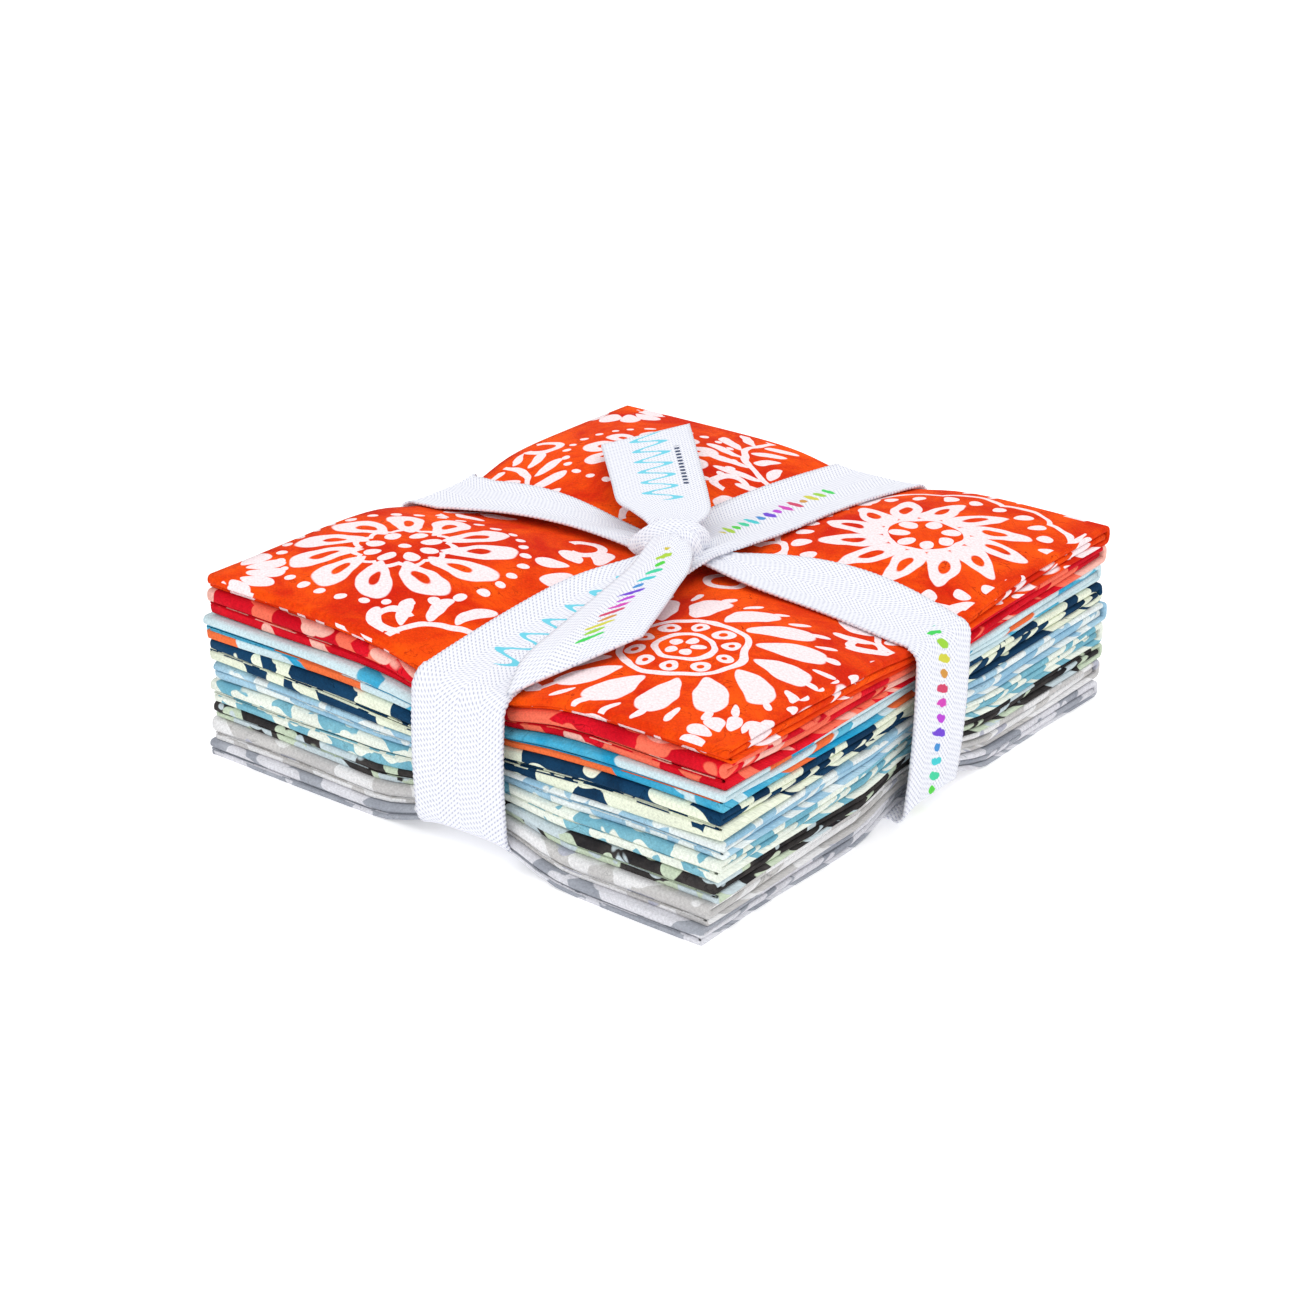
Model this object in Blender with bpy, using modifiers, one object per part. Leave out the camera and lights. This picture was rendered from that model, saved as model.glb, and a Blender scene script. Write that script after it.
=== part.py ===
"""Fat quarter bundle: nine folded cotton cloths, tied crosswise with one twill tape.

Metres, +Z up.  The origin is on the surface that the bundle stands on, under the middle
of its footprint.  +X runs along the side where each cloth shows one thick fold, and +Y
runs along the side where its folded layers show as thin strips.
"""
import math

import bmesh
import bpy
from mathutils import Vector

# Driving sizes of the stack
MM = 0.001
BUNDLE_WIDTH = 0.142        # along X: a 559 mm cut edge folded into four
BUNDLE_DEPTH = 0.154        # along Y: a 457 mm cut edge folded into three
LAYER_GAP = 0.00045         # air between two folded layers, before the tie presses them
LAYERS_PER_CLOTH = 3
FREE_END_SETBACK = 0.0012   # from the inner free end to the fold that wraps it

# Heights of the stack at its four corners, and how far each quarter puffs up
CORNER_HEIGHT = {
    (-1, -1): 0.0462,
    (1, -1): 0.0440,
    (1, 1): 0.0426,
    (-1, 1): 0.0424,
}
QUARTER_PUFF = {
    (-1, -1): 0.0036,
    (1, -1): 0.0026,
    (1, 1): 0.0030,
    (-1, 1): 0.0050,
}

# How far the tape presses the stack in, from above and from below
PRESS_HALF_WIDTH = 0.0185
TOP_PRESS = {"middle": 0.0010, "x_low": 0.0045, "x_high": 0.0030, "y_low": 0.0066, "y_high": 0.0034}
BASE_PRESS = {"middle": 0.0040, "x_low": 0.0055, "x_high": 0.0052, "y_low": 0.0064, "y_high": 0.0053}
BASE_REST_TRIM = 0.0011     # what the press must exceed before the base leaves the floor

# Grid stations from the tape's middle line (0) to a side of the stack (1)
STATIONS = (-0.52, -0.31, -0.17, 0.0, 0.17, 0.31, 0.52)
SMALL_FOLD_STEPS = 4
BIG_FOLD_STEPS = 5

# Cloths from the bottom up.  share: thickness against the mean; dx, dy (mm) and turn
# (degrees): how each one lies off the pile; flap (mm): how far its free end sits back
CLOTHS = (
    dict(name="cloth_1_blue_grey", share=0.88, dx=-0.5, dy=0.3, turn=-1.2, flap=2.2,
         colour=(0.56, 0.60, 0.67)),
    dict(name="cloth_2_pale_grey", share=1.08, dx=-0.9, dy=0.7, turn=-1.0, flap=1.2,
         colour=(0.80, 0.80, 0.80)),
    dict(name="cloth_3_charcoal", share=0.80, dx=-0.3, dy=0.0, turn=-0.9, flap=2.8,
         colour=(0.06, 0.07, 0.07)),
    dict(name="cloth_4_blue_cream", share=1.14, dx=0.1, dy=-0.6, turn=-0.6, flap=1.4,
         colour=(0.47, 0.66, 0.74)),
    dict(name="cloth_5_soft_blue", share=1.00, dx=0.5, dy=-0.2, turn=-0.3, flap=1.0,
         colour=(0.66, 0.79, 0.84)),
    dict(name="cloth_6_navy_mint", share=1.08, dx=0.0, dy=-0.6, turn=-0.1, flap=0.8,
         colour=(0.05, 0.12, 0.20)),
    dict(name="cloth_7_sky_coral", share=0.96, dx=-0.3, dy=-0.9, turn=0.2, flap=1.2,
         colour=(0.42, 0.69, 0.78)),
    dict(name="cloth_8_crimson", share=1.06, dx=0.2, dy=-0.3, turn=0.1, flap=1.8,
         colour=(0.69, 0.05, 0.07)),
    dict(name="cloth_9_orange_floral", share=1.00, dx=0.7, dy=0.0, turn=0.0, flap=2.6,
         colour=(0.86, 0.15, 0.03)),
)

# Twill tape that ties the bundle: 25 mm wide, cut slanted at both free ends
TAPE_NAME = "tie_tape"
TAPE_COLOUR = (0.90, 0.91, 0.94)
TAPE_WIDTH = 0.025
TAPE_THICKNESS = 0.0010
TAPE_CLEARANCE = 0.0005
TAPE_FACE_CLEARANCE = 0.0022    # off the mean side of the stack, past its most proud fold
TAPE_CORNER_RADIUS = {"along_x": 0.0021, "along_y": 0.0032}
TAPE_COLUMNS = (-0.5, 0.0, 0.5)
TAPE_CROSSING_STEP = 0.0005     # the upper loop's height over the lower one where they cross
KNOT_PLACE = (0.0045, -0.0050)
KNOT_RADII = (0.0085, 0.0075, 0.0048)
KNOT_LIFT = 0.0032              # how far the tape rises off the cloth to reach the knot
KNOT_GATHER = 0.42              # share of its width that the tape loses at the knot
KNOT_REACH = 0.015
# Long edges of the two free ends, from the knot out, in mm
FRONT_END_EDGES = (
    ((1.6, -6.0, 48.6), (4.4, -20.0, 47.4), (5.6, -34.0, 45.3), (9.0, -52.0, 44.8),
     (12.6, -68.0, 44.4), (17.0, -78.6, 43.2)),
    ((9.8, -6.0, 48.6), (18.8, -20.0, 51.0), (23.2, -29.0, 50.7), (27.4, -38.0, 50.3),
     (30.2, -46.0, 50.0), (32.4, -52.6, 49.7)),
)
BACK_END_EDGES = (
    ((0.8, -6.4, 48.8), (-8.6, -1.4, 51.6), (-16.0, 1.6, 51.2), (-25.0, 11.2, 50.9),
     (-34.2, 21.0, 50.7), (-43.4, 30.8, 50.5)),
    ((7.2, -2.6, 48.8), (6.6, 7.4, 51.6), (-0.4, 16.5, 51.2), (-12.0, 29.6, 50.9),
     (-23.6, 42.8, 50.7), (-35.2, 55.9, 50.5)),
)
LOOP_ROWS = (-0.93, -0.52, -0.31, -0.17, -0.085, 0.0, 0.085, 0.17, 0.31, 0.52, 0.93)
FACE_ROWS = (0.2, 0.5, 0.8)
CORNER_STEPS = 3

COTTON_ROUGHNESS = 0.85


def blend_on_edges(low, middle, high, place):
    """Value at place (-1 to 1) of a curve that has low, middle and high at -1, 0 and 1."""
    edge = low if place < 0.0 else high
    return middle + (edge - middle) * min(abs(place), 1.0) ** 1.6


def band_profile(distance):
    """1 under the tape, falling to 0 beside it."""
    return 1.0 / (1.0 + (distance / PRESS_HALF_WIDTH) ** 4)


def tape_line_x(y):
    """X of the middle of the tape that runs along Y, which lies a little askew."""
    low, high = 0.0043, 0.0075
    place = y / (BUNDLE_DEPTH / 2)
    return blend_on_edges(low, KNOT_PLACE[0], high, place)


def tape_line_y(x):
    """Y of the middle of the tape that runs along X."""
    low, high = 0.0040, 0.0005
    place = x / (BUNDLE_WIDTH / 2)
    return blend_on_edges(low, KNOT_PLACE[1], high, place)


def on_grid(x_share, y_share):
    """Flat place of a station: the grid follows the tape's lines and the stack's sides."""
    x = x_share * BUNDLE_WIDTH / 2
    y = y_share * BUNDLE_DEPTH / 2
    x_shift = tape_line_x(y) * (1 - abs(x_share))
    y_shift = tape_line_y(x) * (1 - abs(y_share))
    return x + x_shift, y + y_shift


def press_depth(x, y, depths):
    """How far both runs of the tape press the stack in at (x, y)."""
    u = x / (BUNDLE_WIDTH / 2)
    v = y / (BUNDLE_DEPTH / 2)
    along_y = blend_on_edges(depths["y_low"], depths["middle"], depths["y_high"], v)
    along_x = blend_on_edges(depths["x_low"], depths["middle"], depths["x_high"], u)
    along_y *= band_profile(x - tape_line_x(y))
    along_x *= band_profile(y - tape_line_y(x))
    return (along_y ** 3 + along_x ** 3) ** (1 / 3)


def stack_base(x, y):
    """Height of the underside: on the floor in the four quarters, raised over the tape."""
    return max(0.0, press_depth(x, y, BASE_PRESS) - BASE_REST_TRIM)


def stack_top(x, y):
    """Height of the upper side."""
    u = max(-1.0, min(1.0, x / (BUNDLE_WIDTH / 2)))
    v = max(-1.0, min(1.0, y / (BUNDLE_DEPTH / 2)))
    height = 0.0
    for (side_x, side_y), corner in CORNER_HEIGHT.items():
        height += corner * (1 + side_x * u) * (1 + side_y * v) / 4
    quarter = (1 if u >= 0 else -1, 1 if v >= 0 else -1)
    puff = math.sin(math.pi * abs(u)) * math.sin(math.pi * abs(v))
    height += QUARTER_PUFF[quarter] * puff
    return height - press_depth(x, y, TOP_PRESS)


def grid_surface(rows, columns, place):
    """A grid of rows x columns points, each moved to place(row, column).

    Each face is split on the diagonal that runs towards +X and +Y, so that layers that
    lie on each other bend alike.
    """
    mesh = bmesh.new()
    bmesh.ops.create_grid(mesh, x_segments=columns - 1, y_segments=rows - 1, size=1.0)
    for vert in mesh.verts:
        column = round((vert.co.x + 1) / 2 * (columns - 1))
        row = round((vert.co.y + 1) / 2 * (rows - 1))
        vert.co = place(row, column)
    for face in list(mesh.faces):
        corners = sorted(face.verts, key=lambda vert: vert.co.x + vert.co.y)
        if not any(corners[0] in edge.verts and corners[-1] in edge.verts for edge in face.edges):
            bmesh.utils.face_split(face, corners[0], corners[-1])
    bmesh.ops.triangulate(mesh, faces=mesh.faces)
    return mesh


def mesh_object(name, mesh_code, collection):
    data = bpy.data.meshes.new(name)
    mesh_code.to_mesh(data)
    mesh_code.free()
    obj = bpy.data.objects.new(name, data)
    collection.objects.link(obj)
    return obj


def thicken(obj, thickness):
    """Give an open surface its thickness, as a Solidify modifier that is applied."""
    solid = obj.modifiers.new("Thickness", "SOLIDIFY")
    solid.thickness = thickness
    solid.offset = 0.0
    solid.use_even_offset = True
    view = bpy.context.evaluated_depsgraph_get()
    view.update()
    old = obj.data
    obj.data = bpy.data.meshes.new_from_object(obj.evaluated_get(view))
    obj.modifiers.clear()
    bpy.data.meshes.remove(old)


def cotton(name, colour):
    material = bpy.data.materials.new(name)
    material.use_nodes = True
    shader = material.node_tree.nodes["Principled BSDF"]
    shader.inputs["Base Color"].default_value = (*colour, 1.0)
    shader.inputs["Roughness"].default_value = COTTON_ROUGHNESS
    shader.inputs["Metallic"].default_value = 0.0
    return material


def letter_fold(layer, flap):
    """Middle line, in the YZ plane, of a strip folded in three like a letter.

    The middle layer starts inside the big fold at +Y, turns up into the top layer at -Y,
    and the top layer turns down round it at +Y into the bottom layer.
    """
    pitch = layer + LAYER_GAP
    half = BUNDLE_DEPTH / 2
    small = (pitch + layer) / 2         # outer radius of the fold at -Y
    big = pitch + layer / 2             # outer radius of the fold at +Y
    left = -half + small
    right = half - big
    stations = [s * half for s in STATIONS]
    middle_end = right - FREE_END_SETBACK
    path = [(y, 1.5 * pitch) for y in [middle_end] + stations[::-1] + [left]]
    for step in range(1, SMALL_FOLD_STEPS):
        angle = -math.pi / 2 - math.pi * step / SMALL_FOLD_STEPS
        path.append((left + pitch / 2 * math.cos(angle), 2 * pitch + pitch / 2 * math.sin(angle)))
    path += [(y, 2.5 * pitch) for y in [left] + stations + [right]]
    for step in range(1, BIG_FOLD_STEPS):
        angle = math.pi / 2 - math.pi * step / BIG_FOLD_STEPS
        path.append((right + pitch * math.cos(angle), 1.5 * pitch + pitch * math.sin(angle)))
    path += [(y, 0.5 * pitch) for y in [right] + stations[::-1] + [-half + flap]]
    return path


def folded_cloth(row, layer, floor_level, stack_level, collection):
    """One cloth: folded flat, thickened, laid askew on the pile and pressed by the tie."""
    path = letter_fold(layer, row["flap"] * MM)
    x_stations = (-1.0,) + STATIONS + (1.0,)

    def place(station, column):
        y, z = path[station]
        return Vector((*on_grid(x_stations[column], y * 2 / BUNDLE_DEPTH), z))

    surface = grid_surface(len(path), len(x_stations), place)
    cloth = mesh_object(row["name"], surface, collection)
    thicken(cloth, layer)
    turn = math.radians(row["turn"])
    for vert in cloth.data.vertices:
        flat = vert.co
        x = flat.x * math.cos(turn) - flat.y * math.sin(turn) + row["dx"] * MM
        y = flat.x * math.sin(turn) + flat.y * math.cos(turn) + row["dy"] * MM
        share = (floor_level + flat.z - LAYER_GAP / 2) / stack_level
        base = stack_base(x, y)
        vert.co = (x, y, base + share * (stack_top(x, y) - base))
    cloth.data.materials.append(cotton(row["name"], row["colour"]))
    return cloth


def stack_of_cloths(collection):
    mean_height = sum(CORNER_HEIGHT.values()) / len(CORNER_HEIGHT)
    shares = sum(row["share"] for row in CLOTHS)
    gaps = len(CLOTHS) * LAYERS_PER_CLOTH * LAYER_GAP
    mean_layer = (mean_height + LAYER_GAP - gaps) / (LAYERS_PER_CLOTH * shares)
    level = 0.0
    for row in CLOTHS:
        layer = mean_layer * row["share"]
        folded_cloth(row, layer, level, mean_height, collection)
        level += LAYERS_PER_CLOTH * (layer + LAYER_GAP)


def gathered_width(distance):
    """Width of the tape at a distance from the knot, where it is pulled together."""
    return TAPE_WIDTH * (1 - KNOT_GATHER * math.exp(-(distance / KNOT_REACH) ** 2))


def loop_rows():
    """Rows round the stack: (part, share) for top, side, underside and other side."""
    rows = [("top", s) for s in LOOP_ROWS]
    rows += [("top_corner_high", s / CORNER_STEPS) for s in range(CORNER_STEPS + 1)]
    rows += [("side_high", s) for s in FACE_ROWS]
    rows += [("base_corner_high", s / CORNER_STEPS) for s in range(CORNER_STEPS + 1)]
    rows += [("base", s) for s in LOOP_ROWS[::-1]]
    rows += [("base_corner_low", s / CORNER_STEPS) for s in range(CORNER_STEPS + 1)]
    rows += [("side_low", s) for s in FACE_ROWS]
    rows += [("top_corner_low", s / CORNER_STEPS) for s in range(CORNER_STEPS + 1)]
    return rows


def tape_loop(name, along_y, step, collection):
    """A closed loop of tape round the stack, along Y or along X."""
    half = (BUNDLE_DEPTH if along_y else BUNDLE_WIDTH) / 2
    crossing = tape_line_y(0.0) if along_y else tape_line_x(0.0)
    face = half + TAPE_FACE_CLEARANCE
    radius = TAPE_CORNER_RADIUS["along_y" if along_y else "along_x"]
    turn_at = face - radius
    clear = TAPE_CLEARANCE + TAPE_THICKNESS / 2
    knot_along = KNOT_PLACE[1] if along_y else KNOT_PLACE[0]
    line = tape_line_x if along_y else tape_line_y
    rows = loop_rows()

    def ground(along, column, width):
        across = line(max(-half, min(half, along))) + TAPE_COLUMNS[column] * width
        return (across, along) if along_y else (along, across)

    def height(along, column, upper, width):
        x, y = ground(along, column, width)
        if upper:
            away = math.exp(-((along - knot_along) / KNOT_REACH) ** 2)
            return stack_top(x, y) + clear + (KNOT_LIFT + step) * away
        return stack_base(x, y) - clear - step * math.exp(-(along / KNOT_REACH) ** 2)

    def place(row, column):
        part, share = rows[row % len(rows)]
        if part in ("top", "base"):
            along = share * half + crossing * (1 - abs(share))
            width = gathered_width(along - knot_along) if part == "top" else TAPE_WIDTH
            x, y = ground(along, column, width)
            return Vector((x, y, height(along, column, part == "top", width)))
        side = 1 if part.endswith("high") else -1
        x, y = ground(side * turn_at, column, TAPE_WIDTH)
        top = height(side * turn_at, column, True, TAPE_WIDTH)
        base = height(side * turn_at, column, False, TAPE_WIDTH)
        out, z = 0.0, 0.0
        if part.startswith("side"):
            out = radius
            low, high = base + radius, top - radius
            down = share if side > 0 else 1 - share
            z = high + (low - high) * down
        else:
            angle = share * math.pi / 2 if side > 0 else (1 - share) * math.pi / 2
            if part.startswith("top"):
                out = radius * math.sin(angle)
                z = top - radius + radius * math.cos(angle)
            else:
                out = radius * math.cos(angle)
                z = base + radius - radius * math.sin(angle)
        along = side * (turn_at + out)
        return Vector((x, along, z)) if along_y else Vector((along, y, z))

    surface = grid_surface(len(rows) + 1, len(TAPE_COLUMNS), place)
    bmesh.ops.remove_doubles(surface, verts=surface.verts, dist=0.00001)
    loop = mesh_object(name, surface, collection)
    thicken(loop, TAPE_THICKNESS)
    return loop


def tape_tail(name, edges, collection):
    """A free end of the tape, ruled between its two long edges, never below the cloth."""
    left, right = edges
    columns = 5
    rest = TAPE_CLEARANCE + TAPE_THICKNESS / 2

    def place(row, column):
        share = column / (columns - 1)
        here = Vector(left[row]).lerp(Vector(right[row]), share) * MM
        if abs(here.y) < BUNDLE_DEPTH / 2:
            here.z = max(here.z, stack_top(here.x, here.y) + rest)
        return here

    surface = grid_surface(len(left), columns, place)
    tail = mesh_object(name, surface, collection)
    thicken(tail, TAPE_THICKNESS)
    return tail


def knot_body(name, collection):
    mesh = bmesh.new()
    bmesh.ops.create_uvsphere(mesh, u_segments=14, v_segments=8, radius=1.0)
    knot_height = stack_top(*KNOT_PLACE) + KNOT_LIFT + TAPE_THICKNESS
    for vert in mesh.verts:
        x, y, z = (vert.co[i] * KNOT_RADII[i] for i in range(3))
        waist = 1 + 0.14 * math.cos(2 * math.atan2(y, x))
        place = (KNOT_PLACE[0] + x * waist, KNOT_PLACE[1] + y * waist)
        seat = stack_top(*place) + TAPE_CLEARANCE
        vert.co = (*place, max(seat, knot_height + z))
    return mesh_object(name, mesh, collection)


def tie(parts, cutters):
    """The tape: two loops that cross under the stack, a knot on top and two free ends."""
    loop_y = tape_loop(TAPE_NAME, True, 0.0, parts)
    pieces = [
        tape_loop("tape_loop_along_x", False, TAPE_CROSSING_STEP, cutters),
        knot_body("tape_knot", cutters),
    ]
    pieces.append(tape_tail("tape_front_end", FRONT_END_EDGES, cutters))
    pieces.append(tape_tail("tape_back_end", BACK_END_EDGES, cutters))
    for piece in pieces:
        join = loop_y.modifiers.new(piece.name, "BOOLEAN")
        join.operation = "UNION"
        join.solver = "EXACT"
        join.object = piece
        piece.hide_render = True
        piece.display_type = "WIRE"
    loop_y.data.materials.append(cotton(TAPE_NAME, TAPE_COLOUR))


def main():
    for obj in list(bpy.data.objects):
        bpy.data.objects.remove(obj, do_unlink=True)
    parts = bpy.data.collections.new("fat_quarter_bundle")
    cutters = bpy.data.collections.new("tape_pieces")
    for collection in (parts, cutters):
        bpy.context.scene.collection.children.link(collection)
    stack_of_cloths(parts)
    tie(parts, cutters)


main()
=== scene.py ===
import math

import bpy
import numpy as np
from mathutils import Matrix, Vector


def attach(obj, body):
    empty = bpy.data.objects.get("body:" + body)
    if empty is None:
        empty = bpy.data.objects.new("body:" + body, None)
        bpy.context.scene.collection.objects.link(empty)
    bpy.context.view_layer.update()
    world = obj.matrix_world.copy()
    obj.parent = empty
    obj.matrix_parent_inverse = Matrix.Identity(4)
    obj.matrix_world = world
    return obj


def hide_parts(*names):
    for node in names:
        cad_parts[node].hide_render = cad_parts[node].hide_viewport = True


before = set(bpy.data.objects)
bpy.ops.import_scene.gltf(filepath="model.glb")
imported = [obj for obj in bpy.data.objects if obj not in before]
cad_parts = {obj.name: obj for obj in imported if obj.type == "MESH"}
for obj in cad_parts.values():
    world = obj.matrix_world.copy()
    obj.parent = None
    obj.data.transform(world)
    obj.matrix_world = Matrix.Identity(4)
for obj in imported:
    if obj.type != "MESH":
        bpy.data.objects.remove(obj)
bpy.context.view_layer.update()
print("frame loaded")

mm = 0.001

# The stack, with the same sizes as its solids, in metres
stack = {
    "width": 0.142,  # along X
    "depth": 0.154,  # along Y
    "layers": 3,  # folded layers in each cloth
    "layerGap": 0.00045,
    "cornerHeight": {(-1, -1): 0.0462, (1, -1): 0.0440, (1, 1): 0.0426, (-1, 1): 0.0424},
    "puff": {(-1, -1): 0.0036, (1, -1): 0.0026, (1, 1): 0.0030, (-1, 1): 0.0050},
    "pressWidth": 0.0185,  # half width of the dent beside the tape
    "topPress": {"middle": 0.0010, "xLow": 0.0045, "xHigh": 0.0030, "yLow": 0.0066, "yHigh": 0.0034},
    "basePress": {"middle": 0.0040, "xLow": 0.0055, "xHigh": 0.0052, "yLow": 0.0064, "yHigh": 0.0053},
    "restTrim": 0.0011,
    "knot": (0.0045, -0.0050),
    "tapeLineX": (0.0043, 0.0075),
    "tapeLineY": (0.0040, 0.0005),
}

# The cut cloth: a quarter of a yard, and the way its plies lie
quarter = {
    "cutLong": 0.559,  # folded in four, along X
    "cutShort": 0.457,  # folded in three, along Y
    "plyShare": 0.245,  # ply spacing as a share of the layer pitch
    "foldDepth": 0.62,  # a pressed fold is shallower than a half circle
    "foldPower": 2.7,  # and flatter on its face
    "thickness": 0.00026,
    "endSetback": 0.0012,
    "endOpens": 0.18,  # how much further the plies part at the free end
    "endInset": 0.0005,  # and how far the lower ones end further in
    "endReach": (0.012, 0.010),  # where they begin to part, and over what length
    "steps": (26, 44),  # along each ply, and of the top cloth
    "wander": (0.00055, 0.00045),  # unevenness of the edges across and along
    "wanderWaves": ((0.55, 0.019, 1.0), (0.3, 0.0083, 2.3)),  # size, length, share of the phase
    # uneven spacing of the plies: size, waves over the height, over X and over Y, and start
    "spacing": ((0.0042, 7.3, 0.55, -0.40, 0.7), (0.0028, 12.1, -0.85, 0.62, 2.1),
                (0.0060, 3.1, 0.35, 0.70, 4.4)),
    "frontZone": (0.62, 0.36),  # shares of half the depth: from where, over what length
    "drawnIn": 0.0009,  # the edges give way behind the tape
}


def deselectAll():
    bpy.ops.object.select_all(action="DESELECT")


def selectOnly(obj):
    deselectAll()
    obj.select_set(True)
    bpy.context.view_layer.objects.active = obj


def bentGrid(name, place, uv):
    # a flat grid whose points are moved; place and uv hold rows x columns of values
    rows, columns = place.shape[:2]
    deselectAll()
    bpy.ops.mesh.primitive_grid_add(
        x_subdivisions=columns - 1, y_subdivisions=rows - 1, size=1.0, calc_uvs=True)
    sheet = bpy.context.object
    sheet.name = name
    mesh = sheet.data
    flat = np.zeros(len(mesh.vertices) * 3)
    mesh.vertices.foreach_get("co", flat)
    flat = flat.reshape(-1, 3)
    column = np.rint((flat[:, 0] + 0.5) * (columns - 1)).astype(int)
    row = np.rint((flat[:, 1] + 0.5) * (rows - 1)).astype(int)
    mesh.vertices.foreach_set("co", place[row, column].ravel())
    corner = np.zeros(len(mesh.loops), dtype=int)
    mesh.loops.foreach_get("vertex_index", corner)
    mesh.uv_layers.active.data.foreach_set("uv", uv[row[corner], column[corner]].ravel())
    mesh.update()
    return sheet


def giveThickness(sheet, thickness):
    selectOnly(sheet)
    wall = sheet.modifiers.new("thickness", "SOLIDIFY")
    wall.thickness = thickness
    wall.offset = 0.0
    bpy.ops.object.modifier_apply(modifier=wall.name)
    bpy.ops.object.shade_smooth()


def newMaterial(name):
    material = bpy.data.materials.new(name)
    material.use_nodes = True
    return material, material.node_tree, material.node_tree.nodes["Principled BSDF"]


def fill(tree, node, inputs):
    # sets each input of a node to a value, or links it to a socket
    for key, value in inputs.items():
        if isinstance(value, bpy.types.NodeSocket):
            tree.links.new(value, node.inputs[key])
        else:
            node.inputs[key].default_value = value


# Floor, camera and lights
studio = {
    "floorSize": 6.0,
    "floorShader": {"Base Color": (0.93, 0.93, 0.93, 1.0), "Roughness": 0.9,
                    "Emission Color": (1.0, 1.0, 1.0, 1.0), "Emission Strength": 0.30},
    "azimuth": 36.7,
    "elevation": 23.73,
    "distance": 0.692,
    "aim": (0.0, 0.0, 0.024),
    "focal": 3000 / 1300 * 36,
    "shift": (-18.7 / 1300, -20.2 / 1300),
    "worldLight": 0.82,
    "lightTarget": (0, 0, 0.02),
    # place, size and power of the soft lights
    "softKey": ((-0.35, -0.75, 0.95), 0.9, 3.4),
    "topFill": ((0.25, 0.2, 1.3), 1.2, 5.0),
    "rightFill": ((1.1, -0.35, 0.5), 0.8, 1.3),
}


def makeFloor():
    deselectAll()
    bpy.ops.mesh.primitive_plane_add(size=studio["floorSize"], location=(0, 0, 0))
    floor = bpy.context.object
    floor.name = "floor"
    material, tree, shader = newMaterial("paleFloor")
    fill(tree, shader, studio["floorShader"])
    floor.data.materials.append(material)


def makeCamera():
    azimuth = math.radians(studio["azimuth"])
    elevation = math.radians(studio["elevation"])
    back = Vector((
        math.sin(azimuth) * math.cos(elevation),
        -math.cos(azimuth) * math.cos(elevation),
        math.sin(elevation),
    ))
    data = bpy.data.cameras.new("camera")
    data.sensor_width = 36
    data.lens = studio["focal"]
    data.shift_x, data.shift_y = studio["shift"]
    data.clip_start = 0.01
    camera = bpy.data.objects.new("camera", data)
    camera.location = Vector(studio["aim"]) + back * studio["distance"]
    camera.rotation_euler = back.to_track_quat("Z", "Y").to_euler()
    bpy.context.scene.collection.objects.link(camera)
    bpy.context.scene.camera = camera


def makeAreaLight(name):
    place, size, power = studio[name]
    data = bpy.data.lights.new(name, "AREA")
    data.shape = "SQUARE"
    data.size = size
    data.energy = power
    light = bpy.data.objects.new(name, data)
    light.location = place
    back = Vector(place) - Vector(studio["lightTarget"])
    light.rotation_euler = back.to_track_quat("Z", "Y").to_euler()
    bpy.context.scene.collection.objects.link(light)


def makeLights():
    world = bpy.data.worlds.new("studioWorld")
    world.use_nodes = True
    background = world.node_tree.nodes["Background"]
    background.inputs["Color"].default_value = (1.0, 1.0, 1.0, 1.0)
    background.inputs["Strength"].default_value = studio["worldLight"]
    bpy.context.scene.world = world
    for name in ("softKey", "topFill", "rightFill"):
        makeAreaLight(name)
    bpy.context.scene.view_settings.view_transform = "Standard"
    bpy.context.scene.view_settings.look = "None"


makeFloor()
makeCamera()
makeLights()
print("studio ready")


# The shape of the tied stack, as functions of place
def unit(value):
    return np.clip(value, 0, 1)


def blendOnEdges(low, middle, high, place):
    edge = np.where(place < 0, low, high)
    return middle + (edge - middle) * np.minimum(np.abs(place), 1.0) ** 1.6


def bandProfile(distance):
    return 1.0 / (1.0 + (distance / stack["pressWidth"]) ** 4)


def tapeLineX(y):
    low, high = stack["tapeLineX"]
    return blendOnEdges(low, stack["knot"][0], high, y / (stack["depth"] / 2))


def tapeLineY(x):
    low, high = stack["tapeLineY"]
    return blendOnEdges(low, stack["knot"][1], high, x / (stack["width"] / 2))


def pressDepth(x, y, depths):
    u = x / (stack["width"] / 2)
    v = y / (stack["depth"] / 2)
    alongY = blendOnEdges(depths["yLow"], depths["middle"], depths["yHigh"], v)
    alongX = blendOnEdges(depths["xLow"], depths["middle"], depths["xHigh"], u)
    alongY = alongY * bandProfile(x - tapeLineX(y))
    alongX = alongX * bandProfile(y - tapeLineY(x))
    return (alongY ** 3 + alongX ** 3) ** (1 / 3)


def stackBase(x, y):
    return np.maximum(0.0, pressDepth(x, y, stack["basePress"]) - stack["restTrim"])


def stackTop(x, y):
    u = np.clip(x / (stack["width"] / 2), -1, 1)
    v = np.clip(y / (stack["depth"] / 2), -1, 1)
    height = np.zeros_like(u + v)
    swell = np.zeros_like(u + v)
    for (sideX, sideY), corner in stack["cornerHeight"].items():
        height = height + corner * (1 + sideX * u) * (1 + sideY * v) / 4
        inQuarter = (np.sign(u + 1e-9) == sideX) & (np.sign(v + 1e-9) == sideY)
        swell = np.where(inQuarter, stack["puff"][(sideX, sideY)], swell)
    height = height + swell * np.sin(np.pi * np.abs(u)) * np.sin(np.pi * np.abs(v))
    return height - pressDepth(x, y, stack["topPress"])


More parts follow.
